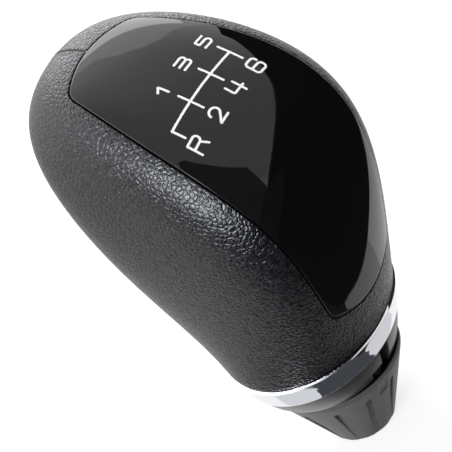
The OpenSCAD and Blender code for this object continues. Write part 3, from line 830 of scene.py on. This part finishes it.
def leather():
    """Dark grained leather: smooth cells with rounded shoulders and creases between them."""
    mat, tree, skin_ = new_material("grained_leather")
    where = spot(tree)
    warp = node(tree, "ShaderNodeTexNoise", Scale=650.0, Detail=2.0)
    tree.links.new(where, warp.inputs["Vector"])
    mix = tree.nodes.new("ShaderNodeVectorMath")
    mix.operation = "MULTIPLY_ADD"
    tree.links.new(warp.outputs["Color"], mix.inputs[0])
    mix.inputs[1].default_value = (0.00045,) * 3
    tree.links.new(where, mix.inputs[2])
    cells = node(tree, "ShaderNodeTexVoronoi", feature="DISTANCE_TO_EDGE", Scale=1000.0, Randomness=1.0)
    tree.links.new(mix.outputs[0], cells.inputs["Vector"])
    crease = ramp(tree, cells.outputs["Distance"], 0.0, 0.2, grey(0), grey(0.65), "EASE")
    dome = ramp(tree, cells.outputs["Distance"], 0.0, 0.5, grey(0), grey(0.9), "B_SPLINE")
    small = node(tree, "ShaderNodeTexVoronoi", feature="DISTANCE_TO_EDGE", Scale=2300.0, Randomness=1.0)
    tree.links.new(mix.outputs[0], small.inputs["Vector"])
    wrinkle = ramp(tree, small.outputs["Distance"], 0.0, 0.15, grey(0), grey(0.14), "EASE")
    swell = maths(tree, "MULTIPLY", noise(tree, where, 480.0, 2.0), 1.3)
    height = maths(tree, "ADD", maths(tree, "ADD", crease, dome), maths(tree, "ADD", wrinkle, swell))
    tree.links.new(bump(tree, height, 0.00009, 1.0), skin_.inputs["Normal"])
    # Painted shade: the base colour darkens in the creases, standing in for the shade that falls in
    # them
    tone = ramp(tree, crease, 0.08, 0.5, (0.0012, 0.0012, 0.0016, 1), (0.0078, 0.0084, 0.0108, 1))
    tree.links.new(tone, skin_.inputs["Base Color"])
    rough = ramp(tree, noise(tree, where, 1600.0, 2.0), 0.3, 0.75, grey(0.25), grey(0.33))
    tree.links.new(rough, skin_.inputs["Roughness"])
    skin_.inputs["Specular IOR Level"].default_value = 0.33
    return mat


def gloss_black():
    """Piano black with a faint ripple from moulding."""
    mat, tree, skin_ = new_material("gloss_black")
    where = spot(tree)
    skin_.inputs["Base Color"].default_value = (0.0028, 0.0028, 0.0031, 1)
    tree.links.new(ramp(tree, noise(tree, where, 90.0), 0.3, 0.8, grey(0.02), grey(0.05)),
                   skin_.inputs["Roughness"])
    tree.links.new(bump(tree, noise(tree, where, 60.0, 1.0), 0.00001, 0.5), skin_.inputs["Normal"])
    return mat


def white_ink():
    mat, tree, skin_ = new_material("white_ink")
    where = spot(tree)
    tree.links.new(ramp(tree, noise(tree, where, 3000.0), 0.2, 0.8, grey(0.82), grey(0.9)),
                   skin_.inputs["Base Color"])
    skin_.inputs["Roughness"].default_value = 0.35
    return mat


def chrome():
    """Mirror chrome with very faint waviness."""
    mat, tree, skin_ = new_material("bright_chrome")
    where = spot(tree)
    skin_.inputs["Metallic"].default_value = 1.0
    skin_.inputs["Base Color"].default_value = (0.84, 0.85, 0.87, 1)
    tree.links.new(ramp(tree, noise(tree, where, 700.0), 0.3, 0.8, grey(0.03), grey(0.07)),
                   skin_.inputs["Roughness"])
    tree.links.new(bump(tree, noise(tree, where, 160.0, 1.0), 0.00001, 0.4), skin_.inputs["Normal"])
    return mat


def satin_metal():
    """Satin plated ring, brushed round the lever."""
    mat, tree, skin_ = new_material("satin_metal")
    where = spot(tree)
    stretch = node(tree, "ShaderNodeMapping")
    stretch.inputs["Scale"].default_value = (1, 1, 30)
    tree.links.new(where, stretch.inputs["Vector"])
    lines = noise(tree, stretch.outputs["Vector"], 300.0, 4.0, 0.7)
    skin_.inputs["Metallic"].default_value = 1.0
    tree.links.new(ramp(tree, lines, 0.3, 0.7, (0.3, 0.297, 0.29, 1), (0.36, 0.356, 0.348, 1)),
                   skin_.inputs["Base Color"])
    tree.links.new(ramp(tree, lines, 0.3, 0.7, grey(0.4), grey(0.5)), skin_.inputs["Roughness"])
    tree.links.new(bump(tree, lines, 0.00001, 0.3), skin_.inputs["Normal"])
    return mat


def plastic(name, dark, light, rough, grain=3500.0, depth=0.00002):
    """Moulded plastic with a fine spark texture."""
    mat, tree, skin_ = new_material(name)
    where = spot(tree)
    speck = noise(tree, where, grain, 2.0, 0.6)
    tree.links.new(ramp(tree, noise(tree, where, 500.0, 3.0), 0.3, 0.7, dark, light),
                   skin_.inputs["Base Color"])
    tree.links.new(ramp(tree, speck, 0.3, 0.7, grey(rough - 0.05), grey(rough + 0.07)),
                   skin_.inputs["Roughness"])
    tree.links.new(bump(tree, speck, depth, 0.7), skin_.inputs["Normal"])
    return mat


def grey_plastic():
    return plastic("grey_plastic", (0.085, 0.085, 0.087, 1), (0.105, 0.105, 0.107, 1), 0.48)


def metal(name, tone, rough):
    """Plain worked metal with fine marks."""
    mat, tree, skin_ = new_material(name)
    where = spot(tree)
    marks = noise(tree, where, 1200.0, 4.0, 0.7)
    skin_.inputs["Metallic"].default_value = 1.0
    tree.links.new(ramp(tree, marks, 0.3, 0.7, grey(tone * 0.9), grey(tone * 1.1)),
                   skin_.inputs["Base Color"])
    tree.links.new(ramp(tree, marks, 0.3, 0.7, grey(rough - 0.06), grey(rough + 0.08)),
                   skin_.inputs["Roughness"])
    tree.links.new(bump(tree, marks, 0.00001, 0.5), skin_.inputs["Normal"])
    return mat


def dress_nodes():
    """Better materials on the CAD nodes that stay."""
    black = plastic("black_plastic", grey(0.008), grey(0.012), 0.45)
    core = plastic("core_plastic", grey(0.03), grey(0.04), 0.6)
    rubber = plastic("soft_rubber", grey(0.012), grey(0.018), 0.8, 1800.0, 0.00004)
    steel = metal("zinc_steel", 0.5, 0.3)
    spring = metal("spring_steel", 0.42, 0.22)
    looks = {
        "grip_core": core, "neck_carrier": black,
        "index_pin": black, "lever_socket": steel, "damper_sleeve": rubber,
        "lever_clip": spring, "end_stop": rubber, "carrier_screws": steel,
        "disc_spring": spring, "retaining_ring": spring,
    }
    for name, mat in looks.items():
        materials = frame["nodes"][name].data.materials
        if len(materials):
            materials[0] = mat
        else:
            materials.append(mat)


# Studio

def camera():
    """The photograph's camera, as fitted to its outline and rings."""
    a, e, roll = map(math.radians, (-38.4, 36.9, -29.3))
    distance, focal_px, frame_px = 405.6, 2000, 452
    aim_side, aim_height, sensor = -6.1, 56.7, 36
    back = Vector((math.sin(a) * math.cos(e), -math.cos(a) * math.cos(e), math.sin(e)))
    right = Vector((math.cos(a), math.sin(a), 0))
    up = back.cross(right)
    x = right * math.cos(roll) + up * math.sin(roll)
    y = up * math.cos(roll) - right * math.sin(roll)
    target = Vector((aim_side * math.cos(a), aim_side * math.sin(a), aim_height))
    data = bpy.data.cameras.new("camera")
    data.sensor_width = sensor
    data.lens = sensor * focal_px / frame_px
    data.clip_start, data.clip_end = 0.01, 10
    obj = bpy.data.objects.new("camera", data)
    turn = Matrix((x, y, back)).transposed().to_4x4()
    obj.matrix_world = Matrix.Translation((target + back * distance) * MM) @ turn
    bpy.context.scene.collection.objects.link(obj)
    bpy.context.scene.camera = obj
    return x, y, back, target * MM


def facing(centre, towards):
    """Placement with -Z pointing from centre to a point."""
    aim = (towards - centre).to_track_quat("-Z", "Y").to_matrix().to_4x4()
    return Matrix.Translation(centre) @ aim


def soft_box(name, centre, towards, width, height, power):
    data = bpy.data.lights.new(name, "AREA")
    data.shape = "RECTANGLE"
    data.size, data.size_y, data.energy = width, height, power
    obj = bpy.data.objects.new(name, data)
    obj.matrix_world = facing(centre, towards)
    bpy.context.scene.collection.objects.link(obj)
    return obj


def white_world():
    """White to the camera and in reflections, a softer fill on everything else."""
    world = bpy.data.worlds.new("studio")
    bpy.context.scene.world = world
    world.use_nodes = True
    tree = world.node_tree
    tree.nodes.clear()
    path = tree.nodes.new("ShaderNodeLightPath")
    seen = maths(tree, "MAXIMUM", path.outputs["Is Camera Ray"], path.outputs["Is Glossy Ray"])
    seen = maths(tree, "MAXIMUM", seen, path.outputs["Is Transmission Ray"])
    fill = node(tree, "ShaderNodeBackground", Color=(1, 1, 1, 1), Strength=FILL)
    white = node(tree, "ShaderNodeBackground", Color=(1, 1, 1, 1), Strength=1.0)
    mix = tree.nodes.new("ShaderNodeMixShader")
    out = tree.nodes.new("ShaderNodeOutputWorld")
    tree.links.new(seen, mix.inputs["Fac"])
    tree.links.new(fill.outputs[0], mix.inputs[1])
    tree.links.new(white.outputs[0], mix.inputs[2])
    tree.links.new(mix.outputs[0], out.inputs["Surface"])


def bare_material(name, mesh):
    """New material on a mesh, as a node tree with nothing but its output."""
    mat = bpy.data.materials.new(name)
    mat.use_nodes = True
    tree = mat.node_tree
    tree.nodes.clear()
    mesh.materials.append(mat)
    return tree, tree.nodes.new("ShaderNodeOutputMaterial")


def reflected_only(obj):
    """Show a card to glossy rays alone, and link it into the scene."""
    obj.visible_camera = False
    obj.visible_diffuse = False
    obj.visible_shadow = False
    bpy.context.scene.collection.objects.link(obj)


def card(axes, middle, name, side, corners, tone, reach):
    """Flat card of one tone on a side of the box round the knob."""
    axis, sign = SIDES[side]
    places = []
    for corner in corners:
        corner = [*corner[:axis], sign, *corner[axis:]]
        places.append(middle + sum((a * c for a, c in zip(axes, corner)), Vector()) * reach)
    mesh = bpy.data.meshes.new(name)
    mesh.from_pydata(places, [], [tuple(range(len(places)))])
    tree, out = bare_material(name, mesh)
    glow = node(tree, "ShaderNodeEmission", Color=(*tone, 1), Strength=1.0)
    tree.links.new(glow.outputs[0], out.inputs["Surface"])
    obj = bpy.data.objects.new(name, mesh)
    if name in LIT_ALONE:
        lit = bpy.data.collections.new(name + "_lit")
        lit.objects.link(bpy.data.objects[LIT_ALONE[name]])
        obj.light_linking.receiver_collection = lit
    reflected_only(obj)


def sky_card(axes, middle):
    """Card above the knob that grows brighter away from the camera, like a long soft box."""
    left, right, near, far = -4, 2, -1.6, 1.2
    mesh = bpy.data.meshes.new("sky_card")
    mesh.from_pydata([(left, near, 0), (right, near, 0), (right, far, 0), (left, far, 0)], [],
                     [(0, 1, 2, 3)])
    tree, out = bare_material("sky_card", mesh)
    split = tree.nodes.new("ShaderNodeSeparateXYZ")
    tree.links.new(spot(tree), split.inputs[0])
    fall = tree.nodes.new("ShaderNodeMapRange")
    fall.inputs["From Min"].default_value = near
    fall.inputs["From Max"].default_value = far
    tree.links.new(split.outputs["Y"], fall.inputs["Value"])
    tone = tree.nodes.new("ShaderNodeValToRGB")
    stops = [(0.0, 1.0), (0.5, 0.95), (0.557, 0.82), (0.589, 0.67), (0.611, 0.6), (0.65, 0.53),
             (0.67, 0.47), (0.73, 0.4), (1.0, 0.39)]
    for place, level in stops[1:-1]:
        tone.color_ramp.elements.new(place)
    for element, (place, level) in zip(tone.color_ramp.elements, stops):
        element.position = place
        element.color = grey(level)
    tree.links.new(fall.outputs[0], tone.inputs["Fac"])
    glow = node(tree, "ShaderNodeEmission", Strength=2.0)
    tree.links.new(tone.outputs["Color"], glow.inputs["Color"])
    tree.links.new(glow.outputs[0], out.inputs["Surface"])
    obj = bpy.data.objects.new("sky_card", mesh)
    x, y, back = axes
    turn = Matrix((x, back, -y)).transposed().to_4x4()
    place = Matrix.Translation(middle + y * SKY_REACH)
    obj.matrix_world = place @ turn @ Matrix.Scale(SKY_REACH, 4)
    reflected_only(obj)


def floor():
    """Pale floor under the mouth that takes the knob's soft shadow."""
    mesh = bpy.data.meshes.new("floor")
    r, z = 3.0, CAD_BOX[0].z - 0.0002
    mesh.from_pydata([(-r, -r, z), (r, -r, z), (r, r, z), (-r, r, z)], [], [(0, 1, 2, 3)])
    tree, out = bare_material("floor", mesh)
    path = tree.nodes.new("ShaderNodeLightPath")
    pale = node(tree, "ShaderNodeBsdfDiffuse", Color=grey(FLOOR_LIT))
    seen = node(tree, "ShaderNodeBsdfDiffuse", Color=grey(FLOOR_SEEN))
    glow = node(tree, "ShaderNodeEmission", Color=(1, 1, 1, 1), Strength=FLOOR_GLOW)
    both = tree.nodes.new("ShaderNodeAddShader")
    mix = tree.nodes.new("ShaderNodeMixShader")
    tree.links.new(seen.outputs[0], both.inputs[0])
    tree.links.new(glow.outputs[0], both.inputs[1])
    tree.links.new(path.outputs["Is Camera Ray"], mix.inputs["Fac"])
    tree.links.new(pale.outputs[0], mix.inputs[1])
    tree.links.new(both.outputs[0], mix.inputs[2])
    tree.links.new(mix.outputs[0], out.inputs["Surface"])
    obj = bpy.data.objects.new("floor", mesh)
    obj.visible_glossy = False
    bpy.context.scene.collection.objects.link(obj)


def studio():
    """Camera, floor, two soft boxes, and the cards that gloss, chrome and leather mirror."""
    x, y, back, middle = camera()
    axes = (x, y, back)
    white_world()
    floor()
    key_at = middle + (x * -0.42 + y * -0.22 + back * 0.88) * LAMP_REACH
    top_at = middle + (x * -0.55 + y * 0.8 + back * 0.2) * LAMP_REACH
    soft_box("key", key_at, middle, 0.34, 0.34, KEY)
    soft_box("top", top_at, middle, 0.5, 0.4, TOP).visible_glossy = False
    sky_card(axes, middle)
    for row in CARDS:
        card(axes, middle, *row)


grip_cover()
gate_panel()
gate_pattern()
trim_ring()
satin_ring()
lock_collar()
dress_nodes()
studio()
bpy.context.scene.view_settings.view_transform = "Standard"
